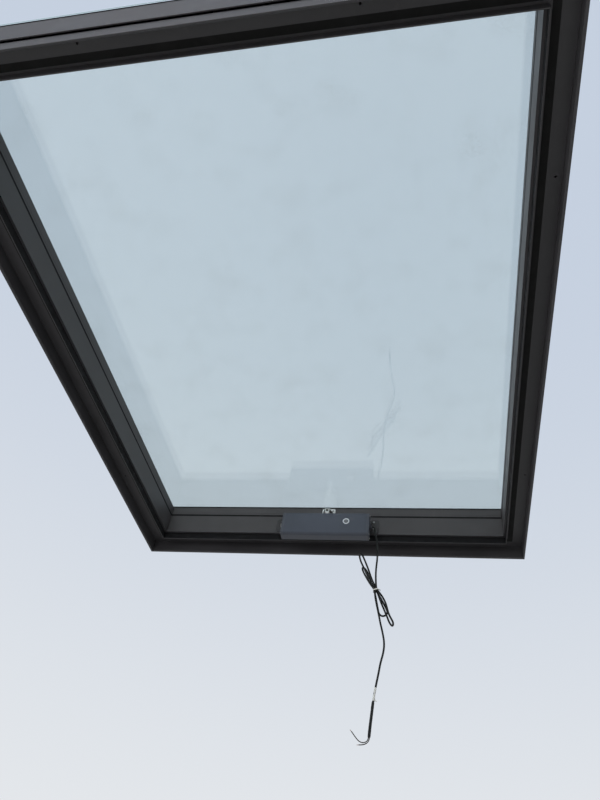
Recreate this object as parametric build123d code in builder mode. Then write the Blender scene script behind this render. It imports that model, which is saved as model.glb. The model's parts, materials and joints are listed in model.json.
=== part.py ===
from build123d import *
from math import atan2, degrees, pi, radians, tan
import os

os.makedirs("parts", exist_ok=True)

# Electrically opened skylight for a flat roof, with its frame. X runs along the side that carries the
# chain actuator, Y from the hinged side to the actuator's side, and Z up through the glass. The origin
# is the centre of the clear opening, on the plane where the base frame sits on the kerb. Sizes are in
# millimetres. Frame sections are drawn with u outward from the clear opening and v up from the kerb.

# Clear opening
clear_width = 1500.0
clear_length = 2000.0

# Base frame section
base_box_width = 45.0
base_box_height = 94.0
frame_wall = 3.0
base_floor = 6.0
web_height = 48.0
web_wall = 2.5
lining_set_back = 8.0
lining_depth = 32.0
kerb_slot_width = 67.0
gutter_floor = 4.0
gutter_lip_height = 16.0
drip_skirt_depth = 55.0
drip_kick = 4.0
tape_track = 18.0
tape_width = 20.0
tape_height = 3.0

# Seals between the base frame and the sash
seal_gap = 12.0
seal_tracks = (15.0, 33.0)
seal_width = 8.6
seal_skin = 1.7
seal_relief = 0.3
groove_neck = 4.2
groove_foot = 8.0
groove_lip = 2.0
groove_pocket = 2.8
groove_clearance = 0.15

# Sash section
sash_box_width = 60.0
sash_box_height = 27.0
upstand_wall = 4.0
skirt_face = 87.0
skirt_bottom = 25.0

# Insulating glass unit and what holds it
glazing_tape_height = 6.0
glazing_tape_width = 12.0
glazing_tape_set_back = 2.0
inner_glass = 6.8
inner_glass_cover = 48.0
spacer_height = 16.0
spacer_width = 8.0
spacer_wall = 0.8
unit_seal_width = 6.0
outer_glass = 6.0
outer_glass_overhang = 3.0
glass_corner_radius = 6.0
bead_height = 4.0
bead_margin = 3.0
setting_block_length = 60.0
setting_block_clearance = 0.2

# Corner cleats
cleat_leg = 110.0
cleat_clearance = 0.2
cleat_wall = 8.0

# Chain actuator
housing_length = 386.0
housing_depth = 48.0
housing_height = 111.0
housing_wall = 2.5
housing_corner = 4.0
housing_front_corner = 12.0
end_cap_thickness = 12.0
end_cap_spigot = 6.0
spigot_clearance = 0.2
actuator_stand_off = 16.0
housing_drop = 0.5
trunnion_radius = 8.0
trunnion_length = 4.2
trunnion_clearance = 0.08

# Chain and its drive
chain_pitch = 13.0
chain_link_height = 9.0
chain_block_width = 9.0
chain_plate = 2.5
chain_plate_height = 10.0
link_clearance = 0.1
chain_play = 0.4
channel_play = 0.9
tooth_root = 7.8
tooth_flank = 69
tooth_short = 0.5
sprocket_teeth = 6
sprocket_drop = 13.0
magazine_radius = 38.0
guide_end_gap = 3.0
guide_end_wall = 5.0
guide_right = 14.0
guide_cover_thickness = 2.0
drive_shaft_radius = 4.0
gearbox_plate = 9.0
gearbox_margin = 12.0
motor_start = 58.0
motor_end_gap = 28.0
motor_radius = 17.0
motor_boss = 5.0
motor_rise = 12.0
board_end_gap = 6.5
board_width = 32.0
board_shift = 3.0
board_post = 4.0
board_post_radius = 2.5
board_thickness = 1.6
relay_length = 18.0
relay_width = 14.0
relay_height = 14.0
collar_height = 1.5
cap_screw_inset = 8.5
cap_screw_length = 10.0
cap_screw_radius = 1.6
cap_screw_head = 3.0
cap_screw_head_height = 1.6

# Plain round cover on the housing's front, from its right end
cover_inset = 101.0
cover_rise = 12.0
cover_radius = 14.0
cover_height = 1.2
cover_rim = 3.0
cover_recess = 0.5

# Chain end, its pin and the sash bracket
chain_pin_rise = 19.0
chain_pin_radius = 3.0
chain_pin_play = 0.7
chain_end_width = 10.0
chain_end_radius = 8.0
ear_thickness = 3.0
ear_gap = 0.8
sash_bracket_width = 58.0
sash_bracket_thickness = 3.0
sash_bracket_margin = 2.0
sash_bracket_hang = 8.0
sash_bracket_ear = 14.0
sash_bracket_screw_rise = 14.0
pin_tail = 3.0

# Frame brackets that carry the actuator
bracket_thickness = 4.0
bracket_ear = 3.0
bracket_side_gap = 0.5
bracket_ear_radius = 14.0
bracket_foot_width = 50.0
bracket_foot_height = 68.0
bracket_foot_drop = 22.0
bracket_foot_corner = 14.0
bracket_screw_set_out = 9.5
bracket_screw_drops = (44.0, 13.0)

# Hinges
hinge_inset = 200.0
hinge_set_out = 62.0
hinge_length = 80.0
hinge_knuckle = 20.0
hinge_play = 0.5
hinge_radius = 7.0
hinge_leaf = 4.0
hinge_pin_radius = 4.0
hinge_pin_clearance = 0.05
fixed_leaf_half_height = 27.0
moving_leaf_margin = 4.0
hinge_pin_head = 1.5

# Screws
screw_radius = 2.4
screw_clearance = 0.1
screw_head_radius = 4.5
screw_head_height = 3.0
screw_length = 12.0
kerb_hole_radius = 3.25
kerb_hole_inset = 400.0

# Supply lead
lead_radius = 3.75
label_radius = 5.0
label_length = 47.5
sleeve_radius = 5.5
core_radius = 1.2
gland_flange_radius = 9.0
gland_flange = 1.6
gland_nose = 3.0
gland_bore_radius = 4.5
gland_nut_radius = 7.0
hank_width = 18.0
hank_depth = 22.0
hank_corner = 6.0
hank_set_back = 6.0
hank_loop_set_back = 7.5
hank_loop_half_depth = 9.0
tie_width = 5.0
tie_wall = 1.4
tie_gap = 0.1
sleeve_straight = 36.0
sleeve_lean = 4.4
sleeve_run = 44.0

# Levels and lines worked out from the sizes above
kerb_slot_inner = lining_set_back + frame_wall
kerb_slot_outer = kerb_slot_inner + kerb_slot_width
base_reach = kerb_slot_outer + frame_wall
sash_bottom = base_box_height + seal_gap
sash_ledge = sash_bottom + sash_box_height
inner_glass_bottom = sash_ledge + glazing_tape_height
inner_glass_top = inner_glass_bottom + inner_glass
outer_glass_bottom = inner_glass_top + spacer_height
flange_top = outer_glass_bottom - bead_height
skirt_inner = skirt_face - frame_wall
outer_glass_cover = skirt_face + outer_glass_overhang
kerb_hole_line = (base_box_width + kerb_slot_outer) / 2
frame_face = clear_length / 2
sash_bracket_top = sash_ledge - sash_bracket_margin
sash_bracket_shelf = sash_bottom - sash_bracket_hang
chain_pin_height = sash_bracket_shelf - sash_bracket_ear
swivel_height = chain_pin_height - chain_pin_rise - housing_height / 2 + housing_drop
housing_rear = frame_face - actuator_stand_off
swivel_y = housing_rear - housing_depth / 2
housing_front = housing_rear - housing_depth
housing_centre = swivel_height - housing_drop
housing_top = housing_centre + housing_height / 2
housing_bottom = housing_centre - housing_height / 2
motor_height = swivel_height + motor_rise
cover_centre = swivel_height + cover_rise
chain_width = chain_block_width + 2 * chain_plate
bracket_foot_top = base_box_height - bracket_foot_drop
bracket_foot_bottom = bracket_foot_top - bracket_foot_height
bracket_screw_heights = [bracket_foot_top - drop for drop in bracket_screw_drops]
hinge_places = [side * (clear_width / 2 - hinge_inset) for side in (-1, 0, 1)]
moving_leaf_top = sash_ledge - moving_leaf_margin

# The swivel axis and the chain pin lie equally far from the hinge axis, so the actuator turns by exactly
# half the sash's angle as the chain pushes it open.
hinge_axis_y = -(clear_length / 2 + hinge_set_out)
hinge_axis_z = (swivel_height + chain_pin_height) / 2

up = Vector(0, 0, 1)
sides = {
    "far": (Vector(0, 1, 0), clear_length / 2, clear_width),
    "near": (Vector(0, -1, 0), clear_length / 2, clear_width),
    "left": (Vector(-1, 0, 0), clear_width / 2, clear_length),
    "right": (Vector(1, 0, 0), clear_width / 2, clear_length),
}


def section_plane(side, along=0.0):
    """Plane across one side of the frame: x is u, outward from the opening, and y is v, upward."""
    outward, offset, length = sides[side]
    run = outward.cross(up)
    return Plane(origin=outward * offset + run * along, x_dir=outward, z_dir=run)


def mitred_bar(section, side, reach):
    """One side of a frame: the section run past the corner and cut along both mitres."""
    outward, offset, length = sides[side]
    plane = section_plane(side)
    with BuildPart() as bar:
        with BuildSketch(plane):
            add(section)
        extrude(amount=length / 2 + reach, both=True)
        for end in (-1, 1):
            corner = plane.origin + plane.z_dir * (end * length / 2)
            split(bisect_by=Plane(origin=corner, z_dir=plane.z_dir * end - outward), keep=Keep.BOTTOM)
    return bar.part


def mitred_ring(section, reach):
    """Four mitred bars joined at the corners, as a seal is welded."""
    with BuildPart() as ring:
        for side in sides:
            add(mitred_bar(section, side, reach))
    return ring.part


def flat_ring(inner, outer, bottom, height, wall=None):
    """A band round the opening between two offsets, solid or as a hollow bar with the given wall."""
    with BuildPart() as band:
        with BuildSketch(Plane.XY.offset(bottom)):
            Rectangle(clear_width + 2 * outer, clear_length + 2 * outer)
            Rectangle(clear_width + 2 * inner, clear_length + 2 * inner, mode=Mode.SUBTRACT)
        extrude(amount=height)
        if wall:
            with BuildSketch(Plane.XY.offset(bottom + wall)):
                for offset, mode in ((outer - wall, Mode.ADD), (inner + wall, Mode.SUBTRACT)):
                    Rectangle(clear_width + 2 * offset, clear_length + 2 * offset, mode=mode)
            extrude(amount=height - 2 * wall, mode=Mode.SUBTRACT)
    return band.part


def screw(seat, length=screw_length, radius=screw_radius, head=screw_head_radius, height=screw_head_height):
    """Pan-head screw: the head stands on the seat plane and the shank goes down below it."""
    with BuildPart() as fastener:
        with BuildSketch(seat):
            Circle(head)
        extrude(amount=height, taper=12)
        with BuildSketch(seat):
            Circle(radius)
        extrude(amount=-length)
    return fastener.part


def save(shape, name):
    shape.label = name
    export_step(shape, f"parts/{name}.step")


# Base frame: four mitred extrusions with a boxed inner wall, a gutter and a skirt outside the kerb
with BuildSketch() as base_section:
    with BuildLine():
        Polyline(
            (0, 0),
            (lining_set_back, 0),
            (lining_set_back, -lining_depth),
            (kerb_slot_inner, -lining_depth),
            (kerb_slot_inner, 0),
            (kerb_slot_outer, 0),
            (kerb_slot_outer, drip_kick - drip_skirt_depth),
            (kerb_slot_outer + drip_kick, -drip_skirt_depth),
            (base_reach + drip_kick, -drip_skirt_depth),
            (base_reach, drip_kick - drip_skirt_depth),
            (base_reach, gutter_lip_height),
            (kerb_slot_outer, gutter_lip_height),
            (kerb_slot_outer, gutter_floor),
            (base_box_width, gutter_floor),
            (base_box_width, base_box_height),
            (0, base_box_height),
            close=True,
        )
    make_face()
    chamber_width = base_box_width - 2 * frame_wall
    chamber_top = base_box_height - frame_wall
    with Locations((base_box_width / 2, base_floor)):
        Rectangle(chamber_width, web_height - base_floor, align=(Align.CENTER, Align.MIN), mode=Mode.SUBTRACT)
    with Locations((base_box_width / 2, web_height + web_wall)):
        Rectangle(
            chamber_width,
            chamber_top - web_height - web_wall,
            align=(Align.CENTER, Align.MIN),
            mode=Mode.SUBTRACT,
        )
    groove_depth = groove_lip + groove_pocket
    with Locations(*[(track, base_box_height) for track in seal_tracks]):
        Rectangle(groove_foot + 2 * frame_wall, groove_depth + frame_wall, align=(Align.CENTER, Align.MAX))
        Rectangle(groove_neck, groove_lip, align=(Align.CENTER, Align.MAX), mode=Mode.SUBTRACT)
    with Locations(*[(track, base_box_height - groove_lip) for track in seal_tracks]):
        Rectangle(groove_foot, groove_pocket, align=(Align.CENTER, Align.MAX), mode=Mode.SUBTRACT)
    with Locations((tape_track, 0)):
        Rectangle(tape_width, tape_height, align=(Align.MIN, Align.MIN), mode=Mode.SUBTRACT)

# Sash: four mitred extrusions with a glazing ledge, an upstand, a flange under the glass and a skirt
with BuildSketch() as sash_section:
    with BuildLine():
        Polyline(
            (0, sash_bottom),
            (sash_box_width, sash_bottom),
            (sash_box_width, flange_top - frame_wall),
            (skirt_inner, flange_top - frame_wall),
            (skirt_inner, skirt_bottom),
            (skirt_face, skirt_bottom),
            (skirt_face, flange_top),
            (sash_box_width - upstand_wall, flange_top),
            (sash_box_width - upstand_wall, sash_ledge),
            (0, sash_ledge),
            close=True,
        )
    make_face()
    with Locations((sash_box_width / 2, sash_bottom + sash_box_height / 2)):
        Rectangle(
            sash_box_width - 2 * frame_wall,
            sash_box_height - 2 * frame_wall,
            mode=Mode.SUBTRACT,
        )

# Hollow seal with a foot that is pushed into the base frame's groove
seal_top = sash_bottom - seal_relief


def seal_section(track):
    bulb = seal_width / 2
    bulb_centre = seal_top - bulb
    with BuildSketch() as section:
        with Locations((track, base_box_height)):
            Rectangle(seal_width, bulb_centre - base_box_height, align=(Align.CENTER, Align.MIN))
        with Locations((track, bulb_centre)):
            Circle(bulb)
        with Locations((track, base_box_height + seal_skin)):
            Rectangle(
                seal_width - 2 * seal_skin,
                bulb_centre - base_box_height - seal_skin,
                align=(Align.CENTER, Align.MIN),
                mode=Mode.SUBTRACT,
            )
        with Locations((track, bulb_centre)):
            Circle(bulb - seal_skin, mode=Mode.SUBTRACT)
        with Locations((track, base_box_height)):
            Rectangle(
                groove_neck - 2 * groove_clearance,
                groove_depth - groove_clearance,
                align=(Align.CENTER, Align.MAX),
            )
        with Locations((track, base_box_height - groove_lip - groove_clearance)):
            Rectangle(
                groove_foot - 2 * groove_clearance,
                groove_pocket - 2 * groove_clearance,
                align=(Align.CENTER, Align.MAX),
            )
    return section.sketch


def hinge_plane(x):
    """Section plane across a hinge at x, with u outward from the opening and v upward."""
    return section_plane("near", -x)


def fixed_screw_planes():
    """Seats of the screws that hold the fixed leaves, facing away from the opening."""
    seats = []
    for x in hinge_places:
        for side in (-1, 1):
            for level in (-1, 1):
                place = Vector(
                    x + side * (hinge_length - hinge_knuckle) / 2,
                    -(clear_length / 2 + base_box_width + hinge_leaf),
                    hinge_axis_z + level * (fixed_leaf_half_height - 2 * screw_head_radius),
                )
                seats.append(Plane(origin=place, z_dir=(0, -1, 0)))
    return seats


def moving_screw_planes():
    """Seats of the screws that hold the moving leaves to the sash's side wall."""
    seats = []
    for x in hinge_places:
        for side in (-1, 1):
            place = Vector(
                x + side * 2.2 * screw_head_radius,
                -(clear_length / 2 + sash_box_width + hinge_leaf),
                sash_bottom + sash_box_height / 2,
            )
            seats.append(Plane(origin=place, z_dir=(0, -1, 0)))
    return seats


bracket_inner = housing_length / 2 + bracket_side_gap
bracket_outer = bracket_inner + bracket_ear
bracket_screw_x = bracket_outer + bracket_screw_set_out


def bracket_screw_planes():
    seats = []
    for side in (-1, 1):
        for level in bracket_screw_heights:
            place = Vector(side * bracket_screw_x, frame_face - bracket_thickness, level)
            seats.append(Plane(origin=place, z_dir=(0, -1, 0)))
    return seats


def sash_bracket_screw_planes():
    seats = []
    for side in (-1, 1):
        place = Vector(
            side * sash_bracket_width / 3,
            frame_face - sash_bracket_thickness,
            sash_bottom + sash_bracket_screw_rise,
        )
        seats.append(Plane(origin=place, z_dir=(0, -1, 0)))
    return seats


def screw_holes(seats, depth, radius=screw_radius + screw_clearance):
    """Clearance holes along the shanks of screws, as one group of cylinders to cut."""
    with BuildPart() as holes:
        for seat in seats:
            with BuildSketch(seat):
                Circle(radius)
            extrude(amount=-depth)
    return holes.part


hole_depth = screw_length + 1
kerb_holes_across = [
    (x * (clear_width / 2 + kerb_hole_line), y * (clear_length / 2 - kerb_hole_inset))
    for x in (-1, 1)
    for y in (-1, 1)
]
kerb_holes_along = [
    (x * (clear_width / 2 - kerb_hole_inset), y * (clear_length / 2 + kerb_hole_line))
    for x in (-1, 1)
    for y in (-1, 1)
]
frame_cuts = {
    "far": (bracket_screw_planes(), sash_bracket_screw_planes()),
    "near": (fixed_screw_planes(), moving_screw_planes()),
    "left": ((), ()),
    "right": ((), ()),
}

for side in sides:
    base_seats, sash_seats = frame_cuts[side]
    with BuildPart() as base_bar:
        add(mitred_bar(base_section.sketch, side, base_reach + drip_kick))
        with BuildSketch(Plane.XY.offset(-1)):
            with Locations(*(kerb_holes_along if side in ("far", "near") else kerb_holes_across)):
                Circle(kerb_hole_radius)
        extrude(amount=gutter_floor + 2, mode=Mode.SUBTRACT)
        if base_seats:
            add(screw_holes(base_seats, hole_depth), mode=Mode.SUBTRACT)
    save(base_bar.part, f"base_profile_{side}")

    with BuildPart() as sash_bar:
        add(mitred_bar(sash_section.sketch, side, skirt_face))
        if sash_seats:
            add(screw_holes(sash_seats, hole_depth), mode=Mode.SUBTRACT)
    save(sash_bar.part, f"sash_profile_{side}")


def corner_cleats(bottom, top, inner, outer):
    """Angle pieces pushed into the chambers to join the mitres, one in each corner."""
    with BuildPart() as cleats:
        with BuildSketch(Plane.XY.offset(bottom)):
            for x in (-1, 1):
                for y in (-1, 1):
                    corner_x = clear_width / 2 + outer
                    corner_y = clear_length / 2 + outer
                    width = outer - inner
                    with BuildLine():
                        Polyline(
                            (x * corner_x, y * corner_y),
                            (x * (corner_x - cleat_leg), y * corner_y),
                            (x * (corner_x - cleat_leg), y * (corner_y - width)),
                            (x * (corner_x - width), y * (corner_y - width)),
                            (x * (corner_x - width), y * (corner_y - cleat_leg)),
                            (x * corner_x, y * (corner_y - cleat_leg)),
                            close=True,
                        )
                    make_face()
        extrude(amount=top - bottom)
    return cleats.part


save(
    corner_cleats(
        base_floor + cleat_clearance,
        web_height - cleat_clearance,
        frame_wall + cleat_clearance,
        base_box_width - frame_wall - cleat_clearance,
    ),
    "base_corner_cleats",
)
save(
    corner_cleats(
        sash_bottom + frame_wall + cleat_clearance,
        sash_ledge - frame_wall - cleat_clearance,
        frame_wall + cleat_clearance,
        sash_box_width - frame_wall - cleat_clearance,
    ),
    "sash_corner_cleats",
)

# Seals and tapes
save(flat_ring(tape_track, tape_track + tape_width, 0, tape_height), "kerb_tape")
for name, track in zip(("inner_seal", "outer_seal"), seal_tracks):
    save(mitred_ring(seal_section(track), track + seal_width), name)

# Insulating glass unit: inner pane, spacer, edge seal and the larger outer pane that covers the sash
save(
    flat_ring(
        glazing_tape_set_back,
        glazing_tape_set_back + glazing_tape_width,
        sash_ledge,
        glazing_tape_height,
    ),
    "glazing_tape",
)
with BuildPart() as inner_pane:
    with BuildSketch(Plane.XY.offset(inner_glass_bottom)):
        Rectangle(clear_width + 2 * inner_glass_cover, clear_length + 2 * inner_glass_cover)
    extrude(amount=inner_glass)
save(inner_pane.part, "inner_pane")
with BuildPart() as outer_pane:
    with BuildSketch(Plane.XY.offset(outer_glass_bottom)):
        RectangleRounded(
            clear_width + 2 * outer_glass_cover,
            clear_length + 2 * outer_glass_cover,
            glass_corner_radius,
        )
    extrude(amount=outer_glass)
save(outer_pane.part, "outer_pane")
spacer_outer = inner_glass_cover - unit_seal_width
save(
    flat_ring(spacer_outer - spacer_width, spacer_outer, inner_glass_top, spacer_height, spacer_wall),
    "spacer_bar",
)
save(flat_ring(spacer_outer, inner_glass_cover, inner_glass_top, spacer_height), "unit_edge_seal")
save(
    flat_ring(sash_box_width, skirt_face - bead_margin, flange_top, bead_height),
    "structural_bead",
)
upstand_inner = sash_box_width - upstand_wall
block_width = upstand_inner - inner_glass_cover - setting_block_clearance
block_line = inner_glass_cover + setting_block_clearance + block_width / 2
with BuildPart() as setting_blocks:
    with BuildSketch(Plane.XY.offset(sash_ledge)):
        for x in (-1, 1):
            for y in (-1, 1):
                with Locations((x * clear_width / 4, y * (clear_length / 2 + block_line))):
                    Rectangle(setting_block_length, block_width)
                with Locations((x * (clear_width / 2 + block_line), y * clear_length / 4)):
                    Rectangle(block_width, setting_block_length)
    extrude(amount=inner_glass_top - sash_ledge)
save(setting_blocks.part, "setting_blocks")

# Hinges on the near side: fixed leaves with two knuckles, moving leaves with one, and their pins
knuckle_line = (hinge_length - hinge_knuckle) / 2
middle_knuckle = hinge_length - 2 * hinge_knuckle - 2 * hinge_play
pin_bore = hinge_pin_radius + hinge_pin_clearance
with BuildPart() as hinge_fixed_leaves:
    for x in hinge_places:
        with BuildSketch(hinge_plane(x)):
            with Locations((base_box_width, hinge_axis_z)):
                Rectangle(hinge_leaf, 2 * fixed_leaf_half_height, align=(Align.MIN, Align.CENTER))
        extrude(amount=hinge_length / 2, both=True)
        for side in (-1, 1):
            with BuildSketch(hinge_plane(x + side * knuckle_line)):
                with Locations((hinge_set_out, hinge_axis_z)):
                    Circle(hinge_radius)
                with Locations((base_box_width, hinge_axis_z)):
                    Rectangle(hinge_set_out - base_box_width, hinge_radius, align=(Align.MIN, Align.CENTER))
            extrude(amount=hinge_knuckle / 2, both=True)
        with BuildSketch(hinge_plane(x)):
            with Locations((hinge_set_out, hinge_axis_z)):
                Circle(pin_bore)
        extrude(amount=hinge_length / 2 + 1, both=True, mode=Mode.SUBTRACT)
    add(screw_holes(fixed_screw_planes(), hole_depth), mode=Mode.SUBTRACT)
save(hinge_fixed_leaves.part, "hinge_fixed_leaves")

with BuildPart() as hinge_moving_leaves:
    for x in hinge_places:
        with BuildSketch(hinge_plane(x)):
            with Locations((hinge_set_out, hinge_axis_z)):
                Circle(hinge_radius)
            with Locations((sash_box_width, hinge_axis_z)):
                Rectangle(hinge_leaf, moving_leaf_top - hinge_axis_z, align=(Align.MIN, Align.MIN))
            with Locations((hinge_set_out, hinge_axis_z)):
                Circle(pin_bore, mode=Mode.SUBTRACT)
        extrude(amount=middle_knuckle / 2, both=True)
    add(screw_holes(moving_screw_planes(), hole_depth), mode=Mode.SUBTRACT)
save(hinge_moving_leaves.part, "hinge_moving_leaves")

with BuildPart() as hinge_pins:
    for x in hinge_places:
        with BuildSketch(hinge_plane(x)):
            with Locations((hinge_set_out, hinge_axis_z)):
                Circle(hinge_pin_radius)
        extrude(amount=hinge_length / 2, both=True)
        for side in (-1, 1):
            with BuildSketch(hinge_plane(x + side * (hinge_length + hinge_pin_head) / 2)):
                with Locations((hinge_set_out, hinge_axis_z)):
                    Circle(hinge_pin_radius + hinge_pin_head)
            extrude(amount=hinge_pin_head / 2, both=True)
save(hinge_pins.part, "hinge_pins")

with BuildPart() as hinge_base_screws:
    for seat in fixed_screw_planes():
        add(screw(seat))
save(hinge_base_screws.part, "hinge_base_screws")
with BuildPart() as hinge_sash_screws:
    for seat in moving_screw_planes():
        add(screw(seat))
save(hinge_sash_screws.part, "hinge_sash_screws")

# Actuator housing: an extruded tube with a slot on top for the chain
across_housing = Plane(origin=(0, swivel_y, housing_centre), x_dir=(0, 1, 0), z_dir=(1, 0, 0))
tube_length = housing_length - 2 * end_cap_thickness
slot_length = 2 * chain_link_height
slot_width = chain_width + 2


def housing_outline(inset=0.0):
    """The housing's cross-section, set in all round, with its lower front edge rounder than the others."""
    with BuildSketch() as outline:
        Rectangle(housing_depth - 2 * inset, housing_height - 2 * inset)
        front = outline.vertices().group_by(Axis.X)[0].sort_by(Axis.Y)
        fillet(front[0], radius=housing_front_corner - inset)
        small = outline.vertices().filter_by(lambda v: abs(v.X) > housing_depth / 2 - inset - 0.1)
        square = [v for v in small if abs(v.Y) > housing_height / 2 - inset - 0.1]
        fillet(square, radius=max(housing_corner - inset, 0.5))
    return outline.sketch


with BuildPart() as actuator_housing:
    with BuildSketch(across_housing):
        add(housing_outline())
        add(housing_outline(housing_wall), mode=Mode.SUBTRACT)
    extrude(amount=tube_length / 2, both=True)
    with BuildSketch(Plane(origin=(0, swivel_y, housing_top - 2 * housing_wall))):
        RectangleRounded(slot_length, slot_width, 3)
    extrude(amount=3 * housing_wall, mode=Mode.SUBTRACT)
save(actuator_housing.part, "actuator_housing")


def cap_screw_planes():
    seats = []
    for side in (-1, 1):
        for y in (-1, 1):
            for z in (-1, 1):
                place = Vector(
                    side * housing_length / 2,
                    swivel_y + y * (housing_depth / 2 - cap_screw_inset),
                    housing_centre + z * (housing_height / 2 - cap_screw_inset),
                )
                seats.append(Plane(origin=place, z_dir=(side, 0, 0)))
    return seats


def end_cap(side):
    """Moulded cap with a spigot inside the tube and a trunnion that turns in the frame bracket."""
    outer_face = across_housing.offset(side * housing_length / 2)
    inner_face = across_housing.offset(side * (housing_length / 2 - end_cap_thickness))
    trunnion_face = Plane(
        origin=(side * housing_length / 2, swivel_y, swivel_height), x_dir=(0, 1, 0), z_dir=(side, 0, 0)
    )
    bore = gland_bore_radius if side > 0 else screw_radius + screw_clearance
    with BuildPart() as cap:
        with BuildSketch(outer_face):
            add(housing_outline())
        extrude(amount=-side * end_cap_thickness)
        rim = cap.edges().group_by(Axis.X)[-1 if side > 0 else 0]
        fillet(rim, radius=2.5)
        with BuildSketch(inner_face):
            add(housing_outline(housing_wall + spigot_clearance))
            add(housing_outline(2 * housing_wall), mode=Mode.SUBTRACT)
        extrude(amount=-side * end_cap_spigot)
        with BuildSketch(trunnion_face):
            Circle(trunnion_radius)
        extrude(amount=trunnion_length)
        with BuildSketch(trunnion_face.offset(trunnion_length)):
            Circle(bore)
        extrude(amount=-(trunnion_length + end_cap_thickness), mode=Mode.SUBTRACT)
        cap_screw_hole = cap_screw_radius + screw_clearance
        add(screw_holes(cap_screw_planes(), cap_screw_length, cap_screw_hole), mode=Mode.SUBTRACT)
    return cap.part


save(end_cap(-1), "end_cap_left")
save(end_cap(1), "end_cap_right")


def frame_bracket(side):
    """Bent plate: a foot on the base frame's inner face and an ear round the trunnion."""
    ear_plane = Plane(origin=(side * bracket_inner, 0, 0), x_dir=(0, 1, 0), z_dir=(1, 0, 0))
    foot_height = bracket_foot_top - bracket_foot_bottom
    with BuildPart() as bracket:
        with BuildSketch(ear_plane):
            with BuildLine():
                Polyline(
                    (frame_face, bracket_foot_bottom + bracket_foot_corner / 2),
                    (frame_face, bracket_foot_top - bracket_ear_radius),
                    (swivel_y, swivel_height + bracket_ear_radius),
                    (swivel_y, swivel_height - bracket_ear_radius),
                    close=True,
                )
            make_face()
            with Locations((swivel_y, swivel_height)):
                Circle(bracket_ear_radius)
        extrude(amount=side * bracket_ear)
        with BuildSketch(Plane(origin=(0, frame_face, 0), x_dir=(1, 0, 0), z_dir=(0, -1, 0))):
            with Locations((side * bracket_screw_x, (bracket_foot_bottom + bracket_foot_top) / 2)):
                RectangleRounded(bracket_foot_width, foot_height, bracket_foot_corner)
        extrude(amount=bracket_thickness)
        with BuildSketch(ear_plane):
            with Locations((swivel_y, swivel_height)):
                Circle(trunnion_radius + trunnion_clearance)
        extrude(amount=side * bracket_ear, mode=Mode.SUBTRACT)
        add(screw_holes(bracket_screw_planes(), hole_depth), mode=Mode.SUBTRACT)
    return bracket.part


save(frame_bracket(-1), "frame_bracket_left")
save(frame_bracket(1), "frame_bracket_right")
with BuildPart() as bracket_screws:
    for seat in bracket_screw_planes():
        add(screw(seat))
save(bracket_screws.part, "bracket_screws")

# Pivot screw on the left; on the right the lead leaves through the hollow trunnion and its gland
trunnion_end = housing_length / 2 + trunnion_length
with BuildPart() as pivot_screw:
    pivot_seat = Plane(origin=(-trunnion_end, swivel_y, swivel_height), z_dir=(-1, 0, 0))
    add(screw(pivot_seat, end_cap_thickness, screw_radius, bracket_ear_radius - 4, 2.0))
save(pivot_screw.part, "pivot_screw")

with BuildPart() as cable_gland:
    gland_seat = Plane(origin=(trunnion_end, swivel_y, swivel_height), x_dir=(0, 1, 0), z_dir=(1, 0, 0))
    with BuildSketch(gland_seat):
        Circle(gland_flange_radius)
    extrude(amount=gland_flange)
    with BuildSketch(gland_seat.offset(gland_flange)):
        RegularPolygon(radius=gland_nut_radius, side_count=6)
    extrude(amount=gland_nose)
    with BuildSketch(gland_seat):
        Circle(gland_bore_radius - screw_clearance)
    extrude(amount=-end_cap_thickness)
save(cable_gland.part, "cable_gland")
lead_exit_x = trunnion_end + gland_flange + gland_nose

# Chain magazine: the chain comes down from the slot, turns round the sprocket and doubles back.
# The path is drawn flat, with x along the housing and y up.
tooth_step = 2 * chain_pitch
sprocket_radius = sprocket_teeth * tooth_step / (2 * pi)
channel_width = chain_plate_height + 2 * channel_play
housing_room = housing_length / 2 - end_cap_thickness - end_cap_spigot
guide_left = housing_room - guide_end_gap
magazine_reach = guide_left - guide_end_wall - channel_width / 2 - magazine_radius - sprocket_radius
sprocket_x = -sprocket_radius
sprocket_z = swivel_height - sprocket_drop
bottom_run = sprocket_z - sprocket_radius
turn_x = sprocket_x - magazine_reach
top_run = bottom_run + 2 * magazine_radius
guide_bottom = housing_bottom + housing_wall + spigot_clearance
guide_top = housing_top - housing_wall - spigot_clearance
guide_front = housing_front + housing_wall + spigot_clearance
guide_rear = swivel_y + chain_width / 2 + chain_play
channel_floor = swivel_y - chain_width / 2 - chain_play
chain_plane = Plane(origin=(0, swivel_y, 0), x_dir=(1, 0, 0), z_dir=(0, -1, 0))
with BuildLine() as chain_path:
    drop = Line((0, guide_top + 2), (0, sprocket_z))
    wrap = CenterArc((sprocket_x, sprocket_z), sprocket_radius, 0, -90)
    back = Line((sprocket_x, bottom_run), (turn_x, bottom_run))
    turn = CenterArc((turn_x, bottom_run + magazine_radius), magazine_radius, -90, -180)
    store = Line((turn_x, top_run), (-2 * channel_width, top_run))
path_edges = (drop, wrap, back, turn, store)


def path_point(distance):
    """Point at a distance along the chain's path, measured from the slot."""
    for edge in path_edges:
        if distance <= edge.length:
            point = edge.position_at(distance / edge.length)
            return point.X, point.Y
        distance -= edge.length
    return (store @ 1).X, (store @ 1).Y


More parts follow.
